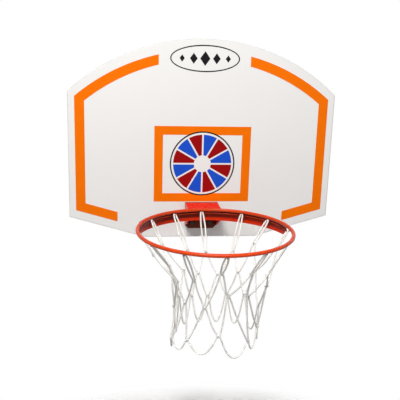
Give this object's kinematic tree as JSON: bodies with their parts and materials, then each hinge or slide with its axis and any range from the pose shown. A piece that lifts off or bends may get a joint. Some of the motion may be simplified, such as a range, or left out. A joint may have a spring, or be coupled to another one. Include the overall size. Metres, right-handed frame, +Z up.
{
  "type": "basketball backboard",
  "caption": "Wall-hung basketball backboard with an arched top, a fixed steel ring on a welded bracket and a knotted cord net.",
  "frame": {"origin": "centre of the four wall holes, on the wall plane behind the board", "axes": "+X right as a player sees the board, +Y into the wall, +Z up"},
  "size_m": [0.8, 0.5669, 0.8172],
  "materials": {
    "board_core": "medium density fibreboard",
    "board_white": "white melamine face, satin",
    "edge_white": "white edge band, matt",
    "print_orange": "screen printed orange",
    "print_black": "screen printed black",
    "print_blue": "screen printed blue",
    "print_red": "screen printed red",
    "ring_paint": "orange-red powder coat, glossy",
    "bracket_paint": "red powder coat, glossy",
    "zinc_steel": "zinc plated",
    "plate_paint": "dark brown primer",
    "black_steel": "black fasteners",
    "rail_steel": "galvanised sheet",
    "net_cord": "white twisted nylon cord"
  },
  "bodies": {
    "root": {"board_core": "board_core", "board_front_sheet": "board_white", "board_back_sheet": "board_white", "board_edge_band": "edge_white", "border_stripe_left": "print_orange", "border_stripe_right": "print_orange", "target_frame": "print_orange", "badge_outline": "print_black", "badge_blue_fields": "print_blue", "badge_red_fields": "print_red", "oval_outline": "print_black", "oval_diamonds": "print_black", "ring_rod": "ring_paint", "ring_brace": "ring_paint", "net_hooks": "ring_paint", "bracket_shelf": "bracket_paint", "bracket_back_plate": "plate_paint", "bracket_gusset_left": "bracket_paint", "bracket_gusset_right": "bracket_paint", "bracket_welds": "bracket_paint", "bracket_bolts": "black_steel", "bolt_washers": "black_steel", "bolt_nuts": "black_steel", "backing_plate": "rail_steel", "wall_rail_left": "rail_steel", "wall_rail_right": "rail_steel", "rail_screws": "zinc_steel", "net_loops": "net_cord", "net_mesh": "net_cord", "net_rim_loops": "net_cord", "net_knots": "net_cord"}
  },
  "joints": []
}
